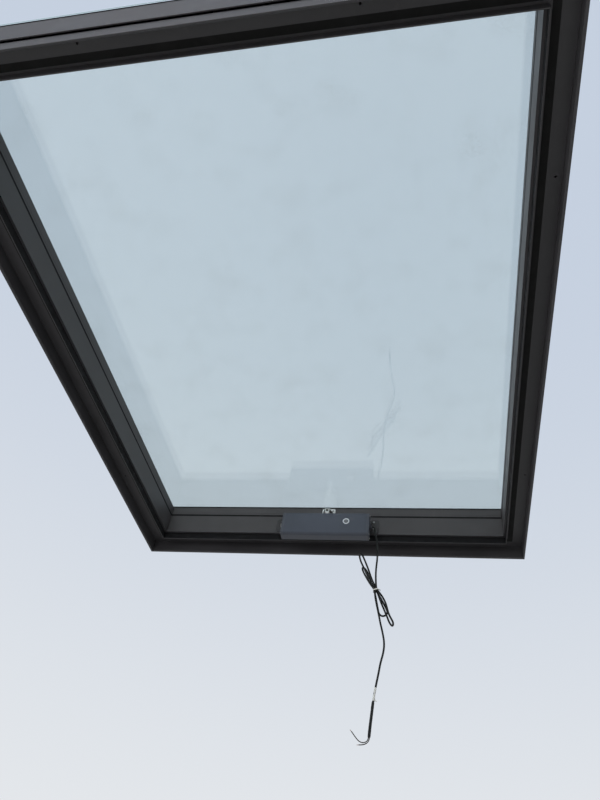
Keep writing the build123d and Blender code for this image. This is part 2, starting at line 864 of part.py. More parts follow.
chain_start = chain_plate_height / 2
link_count = int((sum(edge.length for edge in path_edges) - 2 * chain_start) / chain_pitch)
joints = [path_point(chain_start + i * chain_pitch) for i in range(link_count + 1)]
links = list(zip(joints[:-1], joints[1:]))
with BuildPart() as stored_chain:
    for index, (start, end) in enumerate(links):
        angle = degrees(atan2(end[1] - start[1], end[0] - start[0]))
        middle = ((start[0] + end[0]) / 2, (start[1] + end[1]) / 2)
        offset = (chain_block_width + chain_plate) / 2 + link_clearance
        layers = [(0.0, chain_block_width, chain_link_height)]
        if index % 2 == 0:
            layers = [(side * offset, chain_plate, chain_plate_height) for side in (-1, 1)]
        for layer, thickness, height in layers:
            with BuildSketch(chain_plane.offset(layer - thickness / 2)):
                with Locations(Location((middle[0], middle[1], 0), angle)):
                    SlotCenterToCenter(chain_pitch, height)
            extrude(amount=thickness)
save(stored_chain.part, "stored_chain")
chain_top = joints[0][1] + chain_plate_height / 2

# Guide block with the chain's channel milled in its rear face, and the plate that closes it
shaft_bore = drive_shaft_radius + hinge_pin_clearance
rear_plane = Plane(origin=(0, guide_rear, 0), x_dir=(1, 0, 0), z_dir=(0, -1, 0))
guide_box_middle = ((guide_right - guide_left) / 2, (guide_top + guide_bottom) / 2)
with BuildPart() as chain_guide:
    with BuildSketch(rear_plane):
        with Locations(guide_box_middle):
            Rectangle(guide_right + guide_left, guide_top - guide_bottom)
    extrude(amount=guide_rear - guide_front)
    front_edges = chain_guide.edges().filter_by(Axis.X).group_by(Axis.Y)[0]
    fillet(front_edges.sort_by(Axis.Z)[0], radius=housing_front_corner)
    front_edges = chain_guide.edges().filter_by(Axis.X).group_by(Axis.Y)[0]
    fillet(front_edges.sort_by(Axis.Z)[-1], radius=housing_corner)
    with BuildSketch(rear_plane):
        trace(chain_path.line, line_width=channel_width)
        with Locations((sprocket_x, sprocket_z)):
            Circle(sprocket_radius)
    extrude(amount=guide_rear - channel_floor, mode=Mode.SUBTRACT)
    with BuildSketch(rear_plane):
        with Locations((sprocket_x, sprocket_z)):
            Circle(shaft_bore)
    extrude(amount=guide_rear - guide_front, mode=Mode.SUBTRACT)
save(chain_guide.part, "chain_guide")

with BuildPart() as guide_cover:
    with BuildSketch(rear_plane):
        with Locations(guide_box_middle):
            Rectangle(guide_right + guide_left, guide_top - guide_bottom)
        with Locations((sprocket_x, sprocket_z)):
            Circle(shaft_bore, mode=Mode.SUBTRACT)
    extrude(amount=-guide_cover_thickness)
save(guide_cover.part, "guide_cover")

# Sprocket: its teeth stand in the gaps between the chain's blocks, where side plates join them
wrapped = [
    ((a[0] + b[0]) / 2, (a[1] + b[1]) / 2)
    for a, b in links[::2]
    if min(a[1], b[1]) < sprocket_z and max(a[0], b[0]) > sprocket_x
]
first_tooth = degrees(atan2(wrapped[0][1] - sprocket_z, wrapped[0][0] - sprocket_x))
hub_radius = sprocket_radius - chain_plate_height / 2 - 4 * chain_play
tooth_height = sprocket_radius - tooth_short - hub_radius + 1
shaft_rear = guide_rear + guide_cover_thickness + gearbox_plate / 2
with BuildPart() as drive_sprocket:
    with BuildSketch(chain_plane.offset(-chain_block_width / 2 + chain_play)):
        with Locations((sprocket_x, sprocket_z)):
            Circle(hub_radius)
            with PolarLocations(0, sprocket_teeth, start_angle=first_tooth):
                with Locations((hub_radius - 1, 0)):
                    Trapezoid(
                        tooth_root,
                        tooth_height,
                        tooth_flank,
                        align=(Align.CENTER, Align.MIN),
                        rotation=-90,
                    )
    extrude(amount=chain_block_width - 2 * chain_play)
    with BuildSketch(Plane(origin=(0, shaft_rear, 0), x_dir=(1, 0, 0), z_dir=(0, -1, 0))):
        with Locations((sprocket_x, sprocket_z)):
            Circle(drive_shaft_radius)
    extrude(amount=shaft_rear - guide_front)
save(drive_sprocket.part, "drive_sprocket")

# Gearbox behind the guide, with the motor beside it
cover_rear = guide_rear + guide_cover_thickness
gearbox_rear = cover_rear + gearbox_plate
gearbox_left = sprocket_x - drive_shaft_radius - gearbox_margin
gearbox_front = swivel_y - gearbox_rear + swivel_y
with BuildPart() as gearbox:
    with BuildSketch(Plane(origin=(0, cover_rear, 0), x_dir=(1, 0, 0), z_dir=(0, -1, 0))):
        with Locations((gearbox_left, sprocket_z)):
            Rectangle(
                motor_start - gearbox_left,
                2 * (drive_shaft_radius + gearbox_margin),
                align=(Align.MIN, Align.CENTER),
            )
    extrude(amount=-gearbox_plate)
    with BuildSketch(Plane(origin=(0, gearbox_rear, 0), x_dir=(1, 0, 0), z_dir=(0, -1, 0))):
        with Locations((guide_right + 4, motor_height)):
            Rectangle(
                motor_start - guide_right - 4,
                2 * motor_radius + gearbox_margin,
                align=(Align.MIN, Align.CENTER),
            )
    extrude(amount=gearbox_rear - gearbox_front)
    fillet(gearbox.edges().filter_by(Axis.Y).group_by(Axis.X)[-1], radius=4)
    with BuildSketch(Plane(origin=(0, cover_rear, 0), x_dir=(1, 0, 0), z_dir=(0, -1, 0))):
        with Locations((sprocket_x, sprocket_z)):
            Circle(shaft_bore)
    extrude(amount=-gearbox_plate / 2 - chain_play, mode=Mode.SUBTRACT)
save(gearbox.part, "gearbox")

motor_length = housing_room - motor_start - motor_boss - motor_end_gap
with BuildPart() as motor:
    with BuildSketch(Plane(origin=(motor_start, swivel_y, motor_height), x_dir=(0, 1, 0), z_dir=(1, 0, 0))):
        Circle(motor_radius)
    extrude(amount=motor_length)
    fillet(motor.edges().sort_by(Axis.X)[-1], radius=3)
    with BuildSketch(Plane(origin=(motor_start + motor_length, swivel_y, motor_height), z_dir=(1, 0, 0))):
        Circle(motor_radius / 3)
    extrude(amount=motor_boss)
save(motor.part, "motor")

# Control board on four posts, with its relays and capacitor
board_floor = housing_bottom + housing_wall
board_length = housing_room - motor_start - 2 * board_end_gap
board_middle = motor_start + board_end_gap + board_length / 2
board_y = swivel_y + board_shift
with BuildPart() as control_board:
    with BuildSketch(Plane.XY.offset(board_floor + board_post)):
        with Locations((board_middle, board_y)):
            Rectangle(board_length, board_width)
    extrude(amount=board_thickness)
    with BuildSketch(Plane.XY.offset(board_floor)):
        with Locations((board_middle, board_y)):
            with GridLocations(board_length - 2 * board_post, board_width - 2 * board_post, 2, 2):
                Circle(board_post_radius)
    extrude(amount=board_post)
    with BuildSketch(Plane.XY.offset(board_floor + board_post + board_thickness)):
        with Locations((board_middle, board_y)):
            with GridLocations(board_length / 3, 0, 3, 1):
                Rectangle(relay_length, relay_width)
    extrude(amount=relay_height)
save(control_board.part, "control_board")

# Moulded collar round the chain's slot
collar_outer_x = slot_length + 8
collar_outer_y = slot_width + 8
passage_x = channel_width
passage_y = chain_width + 3 * chain_play
with BuildPart() as chain_outlet:
    with BuildSketch(Plane(origin=(0, swivel_y, housing_top))):
        RectangleRounded(collar_outer_x, collar_outer_y, 4)
    extrude(amount=collar_height)
    fillet(chain_outlet.edges().group_by(Axis.Z)[-1], radius=1)
    with BuildSketch(Plane(origin=(0, swivel_y, housing_top))):
        RectangleRounded(slot_length - 0.3, slot_width - 0.3, 2.8)
    extrude(amount=-housing_wall)
    with BuildSketch(Plane(origin=(0, swivel_y, housing_top - housing_wall))):
        Rectangle(passage_x, passage_y)
    extrude(amount=2 * housing_wall + collar_height, mode=Mode.SUBTRACT)
save(chain_outlet.part, "chain_outlet")

# Plain round cover on the front face, with a raised rim
cover_x = housing_length / 2 - cover_inset
with BuildPart() as round_cover:
    with BuildSketch(Plane(origin=(cover_x, housing_front, cover_centre), z_dir=(0, -1, 0))):
        Circle(cover_radius)
    extrude(amount=cover_height)
    fillet(round_cover.edges().sort_by(Axis.Y)[0], radius=cover_height / 2)
    with BuildSketch(Plane(origin=(cover_x, housing_front - cover_height, cover_centre), z_dir=(0, -1, 0))):
        Circle(cover_radius - cover_rim)
    extrude(amount=-cover_recess, mode=Mode.SUBTRACT)
save(round_cover.part, "round_cover")


with BuildPart() as end_cap_screws:
    for seat in cap_screw_planes():
        add(screw(seat, cap_screw_length, cap_screw_radius, cap_screw_head, cap_screw_head_height))
save(end_cap_screws.part, "end_cap_screws")

# Chain end: a block with an eye that takes the pin of the sash bracket
eye_plane = Plane(origin=(0, 0, 0), x_dir=(0, 1, 0), z_dir=(1, 0, 0))
chain_end_bottom = chain_top + chain_play
with BuildPart() as chain_end:
    with BuildSketch(eye_plane):
        with Locations((swivel_y, chain_pin_height)):
            Circle(chain_end_radius)
        with Locations((swivel_y, chain_end_bottom)):
            Rectangle(
                chain_width - 1,
                chain_pin_height - chain_end_bottom,
                align=(Align.CENTER, Align.MIN),
            )
        with Locations((swivel_y, chain_pin_height)):
            Circle(chain_pin_radius + chain_pin_play, mode=Mode.SUBTRACT)
    extrude(amount=chain_end_width / 2, both=True)
save(chain_end.part, "chain_end")

# Sash bracket: bent from sheet, with two ears that hang either side of the eye
ear_inner = chain_end_width / 2 + ear_gap
with BuildPart() as sash_bracket:
    with BuildSketch(Plane(origin=(0, frame_face, 0), x_dir=(1, 0, 0), z_dir=(0, -1, 0))):
        with Locations((0, sash_bracket_shelf)):
            Rectangle(
                sash_bracket_width,
                sash_bracket_top - sash_bracket_shelf,
                align=(Align.CENTER, Align.MIN),
            )
    extrude(amount=sash_bracket_thickness)
    fillet(sash_bracket.edges().filter_by(Axis.Y).group_by(Axis.Z)[-1], radius=5)
    with BuildSketch(Plane.XY.offset(sash_bracket_shelf)):
        with Locations((0, frame_face)):
            Trapezoid(
                sash_bracket_width,
                frame_face - swivel_y + chain_end_radius,
                70,
                align=(Align.CENTER, Align.MIN),
                rotation=180,
            )
    extrude(amount=sash_bracket_thickness)
    for side in (-1, 1):
        with BuildSketch(eye_plane.offset(side * ear_inner)):
            with Locations((swivel_y, chain_pin_height)):
                Circle(chain_end_radius)
                Rectangle(
                    2 * chain_end_radius,
                    sash_bracket_shelf - chain_pin_height,
                    align=(Align.CENTER, Align.MIN),
                )
        extrude(amount=side * ear_thickness)
    with BuildSketch(eye_plane):
        with Locations((swivel_y, chain_pin_height)):
            Circle(chain_pin_radius + hinge_pin_clearance)
    extrude(amount=sash_bracket_width, both=True, mode=Mode.SUBTRACT)
    add(screw_holes(sash_bracket_screw_planes(), hole_depth), mode=Mode.SUBTRACT)
save(sash_bracket.part, "sash_bracket")

pin_reach = ear_inner + ear_thickness
with BuildPart() as release_pin:
    with BuildSketch(eye_plane.offset(-pin_reach - pin_tail)):
        with Locations((swivel_y, chain_pin_height)):
            Circle(chain_pin_radius)
    extrude(amount=2 * pin_reach + pin_tail)
    with BuildSketch(eye_plane.offset(pin_reach)):
        with Locations((swivel_y, chain_pin_height)):
            Circle(chain_pin_radius + 2)
    extrude(amount=2)
save(release_pin.part, "release_pin")

with BuildPart() as sash_bracket_screws:
    for seat in sash_bracket_screw_planes():
        add(screw(seat))
save(sash_bracket_screws.part, "sash_bracket_screws")

# Supply lead, hanging from the gland. Its points are chosen by hand, as steps from the gland's mouth.
lead_exit = Vector(lead_exit_x, swivel_y, swivel_height)
upper_steps = [
    (0.0, 0.0, 0.0),
    (11.0, 0.0, 0.0),
    (21.4, -0.4, -6.0),
    (27.4, -1.0, -16.5),
    (28.4, -2.0, -33.0),
    (26.0, -3.5, -60.0),
    (28.6, -5.0, -106.0),
    (32.0, -8.0, -160.0),
    (28.0, -11.0, -212.0),
    (28.4, -13.0, -252.0),
    (31.6, -14.0, -278.0),
    (31.6, -14.0, -300.0),
]
lower_steps = [
    (31.2, -14.0, -320.0),
    (31.2, -14.0, -344.0),
    (35.4, -14.6, -381.0),
    (45.0, -15.2, -421.0),
    (58.0, -15.8, -464.0),
    (69.6, -16.0, -506.0),
    (75.2, -16.0, -546.0),
    (70.4, -15.4, -582.0),
    (61.4, -14.4, -622.0),
    (54.2, -13.4, -664.0),
    (50.4, -13.0, -700.6),
]


def fillet_radii(points):
    """Arc at each corner, as large as its two runs allow."""
    radii = []
    for before, corner, after in zip(points[:-2], points[1:-1], points[2:]):
        shorter = min((corner - before).length, (after - corner).length)
        turn_angle = (corner - before).get_angle(after - corner)
        radii.append(0.45 * shorter / tan(radians(turn_angle) / 2))
    return radii


def tube(points, radius, name):
    """Round solid along straight runs joined by tangent arcs, checked against its length."""
    radii = fillet_radii(points)
    with BuildPart() as sweep_part:
        with BuildLine() as path:
            FilletPolyline(*points, radius=radii)
        with BuildSketch(Plane(origin=points[0], z_dir=points[1] - points[0])):
            Circle(radius)
        sweep(path=path.line)
    length = path.wire().length
    expected = pi * radius**2 * length
    print(
        f"{name}: length {length:.1f}, smallest radius {min(radii):.1f},",
        f"volume ratio {sweep_part.part.volume / expected:.4f}",
    )
    return sweep_part.part


def lead_points(steps):
    return [lead_exit + Vector(*step) for step in steps]


upper_points = lead_points(upper_steps)
lower_points = lead_points(lower_steps)
save(tube(upper_points, lead_radius, "lead_upper"), "lead_upper")
save(tube(lower_points, lead_radius, "lead_lower"), "lead_lower")

# Tied hank halfway down the lead: its outer shape, with a long narrow loop above and below the tie
waist_top = upper_points[-1].Z
waist_bottom = lower_points[0].Z
waist_x = (upper_points[-1].X + lower_points[0].X) / 2 + 2
waist_y = upper_points[-1].Y + hank_set_back
loop_plane = Plane(
    origin=(waist_x, waist_y + hank_loop_set_back, (waist_top + waist_bottom) / 2),
    x_dir=(1, 0, 0),
    z_dir=(0, -1, 0),
)
upper_loop = [((-3.0, 8.5), 5.0), ((-50.0, 108.0), 9.0), ((-69.0, 157.0), 6.0)]
lower_loop = [((3.0, -8.5), 5.0), ((34.0, -88.0), 14.0), ((66.0, -140.0), 7.0)]
with BuildPart() as lead_hank:
    with BuildSketch(Plane(origin=(waist_x, waist_y, waist_bottom))):
        RectangleRounded(hank_width, hank_depth, hank_corner)
    extrude(amount=waist_top - waist_bottom)
    for loop in (upper_loop, lower_loop):
        with BuildSketch(loop_plane):
            for place, radius in loop:
                with Locations(place):
                    Circle(radius)
            make_hull()
        extrude(amount=hank_loop_half_depth, both=True)
save(lead_hank.part, "lead_hank")

with BuildPart() as lead_tie:
    with BuildSketch(Plane(origin=(waist_x, waist_y, (waist_top + waist_bottom) / 2))):
        for wall, mode in ((tie_gap + tie_wall, Mode.ADD), (tie_gap, Mode.SUBTRACT)):
            RectangleRounded(hank_width + 2 * wall, hank_depth + 2 * wall, hank_corner + wall, mode=mode)
    extrude(amount=tie_width / 2, both=True)
save(lead_tie.part, "lead_tie")

# Wrapped label, thicker sleeve and the two bare cores at the lead's end
end_run = (lower_points[-1] - lower_points[-2]).normalized()
label_start = Plane(origin=lower_points[-1], z_dir=end_run)
with BuildPart() as lead_label:
    with BuildSketch(label_start):
        Circle(label_radius)
    extrude(amount=label_length)
save(lead_label.part, "lead_label")
sleeve_start = lower_points[-1] + end_run * label_length
sleeve_bend = sleeve_start + end_run * sleeve_straight
sleeve_points = [
    sleeve_start,
    sleeve_bend,
    sleeve_bend + Vector(-sleeve_lean, 0, -sleeve_run),
    sleeve_bend + Vector(-sleeve_lean, 0, -2 * sleeve_run),
]
save(tube(sleeve_points, sleeve_radius, "lead_sleeve"), "lead_sleeve")
core_steps = [
    [
        (-2.0, 0, 0),
        (-2.0, 0, -6),
        (-8.5, 0, -13),
        (-19, 0, -17),
        (-31, 0, -13),
        (-41, 0, -4),
        (-50, 0, 8),
        (-58, 0, 20),
    ],
    [
        (2.0, 0, 0),
        (2.0, 0, -8),
        (-5.5, 0, -17),
        (-17, 0, -22.5),
        (-29, 0, -26.5),
    ],
]
core_tubes = []
for number, steps in enumerate(core_steps):
    points = [sleeve_points[-1] + Vector(*step) for step in steps]
    core_tubes.append(tube(points, core_radius, f"core {number + 1}"))
with BuildPart() as lead_cores:
    for core in core_tubes:
        add(core)
save(lead_cores.part, "lead_cores")
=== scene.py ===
"""Looks of a flat-roof skylight with a chain actuator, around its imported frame. Units are metres."""
import json
import math

import bmesh
import bpy
from mathutils import Matrix, Vector


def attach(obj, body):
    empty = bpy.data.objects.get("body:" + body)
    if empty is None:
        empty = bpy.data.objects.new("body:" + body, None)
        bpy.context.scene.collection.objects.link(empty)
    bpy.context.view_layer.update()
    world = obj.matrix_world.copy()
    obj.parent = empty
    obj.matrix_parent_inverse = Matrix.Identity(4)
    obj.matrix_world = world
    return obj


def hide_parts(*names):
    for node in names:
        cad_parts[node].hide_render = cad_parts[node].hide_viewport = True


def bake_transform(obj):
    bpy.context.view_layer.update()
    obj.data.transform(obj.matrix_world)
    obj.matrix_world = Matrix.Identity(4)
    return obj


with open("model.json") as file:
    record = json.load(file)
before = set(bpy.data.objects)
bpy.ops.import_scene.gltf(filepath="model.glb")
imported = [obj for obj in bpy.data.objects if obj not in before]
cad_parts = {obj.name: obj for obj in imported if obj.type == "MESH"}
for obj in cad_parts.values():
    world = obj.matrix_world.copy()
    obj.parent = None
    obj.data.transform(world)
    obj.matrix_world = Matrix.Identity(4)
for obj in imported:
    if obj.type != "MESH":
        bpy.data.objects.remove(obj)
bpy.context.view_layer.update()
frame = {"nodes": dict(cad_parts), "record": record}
nodes = frame["nodes"]
scene = bpy.context.scene
scene.view_settings.view_transform = "Standard"

# Camera: in the room below, looking up through the opening
CAMERA_PLACE = (0.50502, -1.49542, -1.73514)
CAMERA_RIGHT = (0.97945, 0.15698, 0.126633)
CAMERA_UP = (0.024582, -0.716096, 0.697569)
CAMERA_BACK = (0.200186, -0.680121, -0.705238)
CAMERA_LENS = 30.86
CLIP_END = 100


def add_camera():
    data = bpy.data.cameras.new("camera")
    data.lens = CAMERA_LENS
    data.clip_end = CLIP_END
    camera = bpy.data.objects.new("camera", data)
    scene.collection.objects.link(camera)
    axes = Matrix((CAMERA_RIGHT, CAMERA_UP, CAMERA_BACK)).transposed()
    camera.matrix_world = Matrix.Translation(CAMERA_PLACE) @ axes.to_4x4()
    scene.camera = camera


add_camera()


# Node helpers
EVEN = (1, 1, 1)


class Tree:
    """Short calls for building one material's nodes."""

    def __init__(self, owner):
        self.tree = owner.node_tree
        self.tree.nodes.clear()

    def node(self, kind, values=None, **settings):
        made = self.tree.nodes.new(kind)
        for name, value in settings.items():
            setattr(made, name, value)
        for name, value in (values or {}).items():
            self.put(made.inputs[name], value)
        return made

    def put(self, socket, value):
        if isinstance(value, bpy.types.NodeSocket):
            self.tree.links.new(value, socket)
        elif isinstance(value, tuple) and len(value) == 3 and socket.type == "RGBA":
            socket.default_value = (*value, 1.0)
        else:
            socket.default_value = value

    def noise(self, scale, detail, stretch=EVEN):
        """Noise fixed to the object, finer along an axis by the stretch's number for that axis."""
        place = self.node("ShaderNodeTexCoord").outputs["Object"]
        mapping = self.node("ShaderNodeMapping", {"Vector": place, "Scale": stretch})
        values = {"Vector": mapping.outputs["Vector"], "Scale": scale, "Detail": detail}
        return self.node("ShaderNodeTexNoise", values).outputs["Fac"]

    def math(self, operation, first, second=0.0, clamp=False):
        made = self.node("ShaderNodeMath", operation=operation, use_clamp=clamp)
        self.put(made.inputs[0], first)
        self.put(made.inputs[1], second)
        return made.outputs[0]

    def span(self, value, low, high, start=0.0, end=1.0):
        """Value mapped smoothly from low..high to start..end, and held beyond them."""
        made = self.node(
            "ShaderNodeMapRange",
            {"Value": value, "From Min": low, "From Max": high, "To Min": start, "To Max": end},
            interpolation_type="SMOOTHSTEP",
        )
        return made.outputs["Result"]

    def mix(self, share, first, second):
        """A colour between two others, by the share of the second."""
        made = self.node("ShaderNodeMix", data_type="RGBA")
        self.put(made.inputs[0], share)
        self.put(made.inputs[6], first)
        self.put(made.inputs[7], second)
        return made.outputs[2]

    def bump(self, height, strength, distance, normal=None):
        values = {"Height": height, "Strength": strength, "Distance": distance}
        if normal is not None:
            values["Normal"] = normal
        return self.node("ShaderNodeBump", values).outputs["Normal"]

    def principled(self, values):
        self.finish(self.node("ShaderNodeBsdfPrincipled", values).outputs[0])

    def finish(self, surface):
        self.node("ShaderNodeOutputMaterial", {"Surface": surface})


def material(name):
    made = bpy.data.materials.new(name)
    made.use_nodes = True
    return made, Tree(made)


def shade(colour, factor):
    """The colour made lighter or darker."""
    return tuple(min(1.0, c * factor) for c in colour)


HALF_WIDTH = 0.75
HALF_LENGTH = 1.0
MITRE_WIDTH = 0.0012
JOINT_COLOUR = (0.008, 0.008, 0.009)
DUST_COLOUR = (0.23, 0.22, 0.2)
BLOOM_COLOUR = (0.14, 0.14, 0.135)
HAZE_COLOUR = (0.6, 0.6, 0.57)
COAT_SPECULAR = 0.36


def mitre_line(t, width):
    """1 on the hairline of the frame's mitred corners, from the place alone, and 0 elsewhere."""
    place = t.node("ShaderNodeSeparateXYZ", {"Vector": t.node("ShaderNodeTexCoord").outputs["Object"]})
    across = t.math("SUBTRACT", t.math("ABSOLUTE", place.outputs["X"]), HALF_WIDTH)
    along = t.math("SUBTRACT", t.math("ABSOLUTE", place.outputs["Y"]), HALF_LENGTH)
    return t.span(t.math("ABSOLUTE", t.math("SUBTRACT", across, along)), 0.4 * width, width, 1.0, 0.0)


def coated(
    name,
    colour,
    roughness=0.5,
    grain=900.0,
    grain_depth=0.00003,
    dust=0.25,
    edge=0.0006,
    mitres=False,
    gloss=0.0,
):
    """Powder coat or paint: fine orange peel, slow tone drift, dust on what faces up, rain streaks."""
    made, t = material(name)
    drift = t.noise(5.0, 3.0)
    speck = t.noise(grain, 1.0)
    streak = t.noise(38.0, 3.0, (1.0, 1.0, 0.06))
    tone = t.mix(t.span(drift, 0.3, 0.7), shade(colour, 0.88), shade(colour, 1.1))
    tone = t.mix(t.span(speck, 0.35, 0.75, 0.0, 0.3), tone, shade(colour, 1.5))
    up = t.node("ShaderNodeSeparateXYZ", {"Vector": t.node("ShaderNodeNewGeometry").outputs["Normal"]})
    lying = t.span(up.outputs["Z"], 0.5, 1.0, 0.0, dust)
    film = t.math("MULTIPLY", t.span(streak, 0.55, 0.85, 0.0, 0.4 * dust), t.span(drift, 0.45, 0.7))
    dusty = t.math("ADD", t.math("MULTIPLY", lying, t.span(drift, 0.2, 0.7)), film, clamp=True)
    tone = t.mix(dusty, tone, DUST_COLOUR)
    smooth = t.span(drift, 0.2, 0.8, roughness - 0.05, roughness + 0.08)
    rough = t.math("ADD", smooth, t.math("MULTIPLY", dusty, 0.3))
    rounded = t.node("ShaderNodeBevel", {"Radius": edge}, samples=4).outputs["Normal"]
    normal = t.bump(speck, 0.35, grain_depth, rounded)
    if mitres:
        joint = mitre_line(t, MITRE_WIDTH)
        tone = t.mix(t.math("MULTIPLY", joint, 0.7), tone, JOINT_COLOUR)
        normal = t.bump(t.math("SUBTRACT", 1.0, joint), 0.5, 0.0004, normal)
    t.principled(
        {
            "Base Color": tone,
            "Roughness": rough,
            "Normal": normal,
            "Specular IOR Level": COAT_SPECULAR,
            "Coat Weight": gloss,
            "Coat Roughness": 0.22,
        }
    )
    return made


def metal(name, colour, roughness=0.3, brush=(1, 1, 40), scale=60.0, tarnish=0.15):
    """Bare metal with a brushed grain and light tarnish."""
    made, t = material(name)
    grain = t.noise(scale, 3.0, brush)
    patch = t.noise(14.0, 3.0)
    tone = t.mix(t.span(patch, 0.35, 0.75, 0.0, tarnish), colour, shade(colour, 0.55))
    brushed = t.span(grain, 0.3, 0.7, roughness - 0.08, roughness + 0.1)
    rough = t.math("ADD", brushed, t.span(patch, 0.4, 0.8, 0, 0.12))
    rounded = t.node("ShaderNodeBevel", {"Radius": 0.0004}, samples=4).outputs["Normal"]
    normal = t.bump(grain, 0.2, 0.00004, rounded)
    t.principled({"Base Color": tone, "Metallic": 1.0, "Roughness": rough, "Normal": normal})
    return made


def plastic(name, colour, roughness=0.5, grain=1400.0, grain_depth=0.00004, vary=0.08):
    """Moulded plastic with a fine spark-eroded grain."""
    made, t = material(name)
    drift = t.noise(9.0, 2.0)
    speck = t.noise(grain, 1.0)
    tone = t.mix(t.span(drift, 0.3, 0.7), shade(colour, 1 - vary), shade(colour, 1 + vary))
    rough = t.span(drift, 0.2, 0.8, roughness - 0.05, roughness + 0.07)
    rounded = t.node("ShaderNodeBevel", {"Radius": 0.0005}, samples=4).outputs["Normal"]
    normal = t.bump(speck, 0.3, grain_depth, rounded)
    t.principled({"Base Color": tone, "Roughness": rough, "Normal": normal})
    return made


def rubber(name, colour, roughness=0.68, bloom=0.2, shine=0.5):
    """Soft black rubber or sealant with a greyish bloom in places."""
    made, t = material(name)
    patch = t.noise(26.0, 4.0)
    speck = t.noise(700.0, 2.0)
    tone = t.mix(t.span(patch, 0.5, 0.85, 0.0, bloom), colour, BLOOM_COLOUR)
    rough = t.span(patch, 0.3, 0.8, roughness - 0.08, roughness + 0.1)
    normal = t.bump(speck, 0.3, 0.00006)
    t.principled({"Base Color": tone, "Roughness": rough, "Specular IOR Level": shine, "Normal": normal})
    return made


def pane(name, tint, edge_colour):
    """Clear sheet glass: what is behind it shows unbent, and its cut edges are green."""
    made, t = material(name)
    facing = t.node("ShaderNodeLayerWeight", {"Blend": 0.5}).outputs["Facing"]
    grazing = t.math("POWER", facing, 5.0)
    mirror = t.math("ADD", t.math("MULTIPLY", grazing, 0.96), 0.04, clamp=True)
    film = t.noise(7.0, 4.0)
    spots = t.noise(160.0, 2.0)
    dust = t.math("MULTIPLY", t.span(film, 0.45, 0.8), t.span(spots, 0.45, 0.75, 0.01, 0.06))
    clear = t.node("ShaderNodeBsdfTransparent", {"Color": tint})
    gloss = t.node("ShaderNodeBsdfGlossy", {"Color": (1.0, 1.0, 1.0), "Roughness": 0.015})
    haze = t.node("ShaderNodeBsdfDiffuse", {"Color": HAZE_COLOUR})
    body = t.node("ShaderNodeMixShader", {0: mirror, 1: clear.outputs[0], 2: gloss.outputs[0]})
    body = t.node("ShaderNodeMixShader", {0: dust, 1: body.outputs[0], 2: haze.outputs[0]})
    side = t.node("ShaderNodeSeparateXYZ", {"Vector": t.node("ShaderNodeNewGeometry").outputs["Normal"]})
    level = t.math("ABSOLUTE", side.outputs["Z"])
    cut = t.node(
        "ShaderNodeBsdfPrincipled",
        {"Base Color": edge_colour, "Roughness": 0.12, "Coat Weight": 0.4, "Coat Roughness": 0.05},
    )
    on_edge = t.span(level, 0.3, 0.6, 1.0, 0.0)
    whole = t.node("ShaderNodeMixShader", {0: on_edge, 1: body.outputs[0], 2: cut.outputs[0]})
    t.finish(whole.outputs[0])
    return made


COAT = (0.05, 0.0485, 0.052)
ACTUATOR_COAT = (0.041, 0.048, 0.068)
materials = {
    "frame_coat": coated("frame_coat", COAT, mitres=True),
    "aluminium": metal("mill_aluminium", (0.74, 0.75, 0.76), 0.4),
    "stainless": metal("stainless", (0.6, 0.59, 0.57), 0.28),
    "seal_rubber": rubber("seal_rubber", (0.018, 0.018, 0.019)),
    "sealant": rubber("sealant", (0.022, 0.022, 0.024), 0.5, bloom=0.08),
    "tape": rubber("foam_tape", (0.014, 0.014, 0.014), 0.85, bloom=0.08, shine=0.2),
    # Near-black rubber for strips that paint shade: the recess above the plaster, and the gap under the
    # sash
    "painted_shade_black": rubber("painted_shade_black", (0.007, 0.007, 0.008), 0.8, bloom=0.03, shine=0.15),
    "clear_glass": pane("clear_glass", (0.955, 0.975, 0.97), (0.07, 0.24, 0.19)),
    "spacer": plastic("spacer", (0.03, 0.03, 0.032)),
    "actuator_coat": coated(
        "actuator_coat",
        ACTUATOR_COAT,
        0.46,
        grain=1200.0,
        grain_depth=0.000012,
        dust=0.1,
        edge=0.0015,
        gloss=0.3,
    ),
    "actuator_caps": plastic("actuator_caps", (0.042, 0.048, 0.064), 0.45),
    "bracket_steel": coated(
        "bracket_coat", (0.03, 0.029, 0.031), 0.45, grain=1100.0, grain_depth=0.00002, dust=0.1
    ),
    "zinc_screw": metal("bright_zinc", (0.42, 0.42, 0.41), 0.4, EVEN, 300.0),
    "dull_zinc": metal("dull_zinc", (0.9, 0.9, 0.87), 0.5, EVEN, 180.0, tarnish=0.3),
    "dark_screw": metal("dark_screw", (0.36, 0.36, 0.365), 0.45, EVEN, 300.0),
    "chain_steel": metal("chain_steel", (0.52, 0.52, 0.5), 0.24, EVEN, 240.0),
    "guide_nylon": plastic("guide_nylon", (0.07, 0.07, 0.072)),
    "gear_alloy": metal("gear_alloy", (0.5, 0.5, 0.51), 0.45, EVEN, 400.0),
    "motor_can": metal("motor_can", (0.6, 0.6, 0.6), 0.3),
    "board": plastic("board", (0.02, 0.13, 0.055), 0.35),
    "cover_disc": metal("cover_disc", (0.86, 0.86, 0.88), 0.34, EVEN, 300.0, tarnish=0.05),
    "cover_middle": plastic("cover_middle", (0.13, 0.14, 0.155), 0.4),
    "lead_jacket": rubber("lead_jacket", (0.009, 0.01, 0.01), 0.45, bloom=0.06, shine=0.25),
    "tie": plastic("tie", (0.62, 0.62, 0.6), 0.35),
    "label": plastic("label", (0.6, 0.6, 0.585), 0.3, grain=900.0),
    "core": rubber("core", (0.03, 0.026, 0.02), 0.45, bloom=0.05),
    "enamel": plastic("enamel", (0.012, 0.012, 0.013), 0.2, grain=1600.0, grain_depth=0.000005),
    "copper": metal("copper", (0.36, 0.18, 0.1), 0.5, EVEN, 500.0),
}


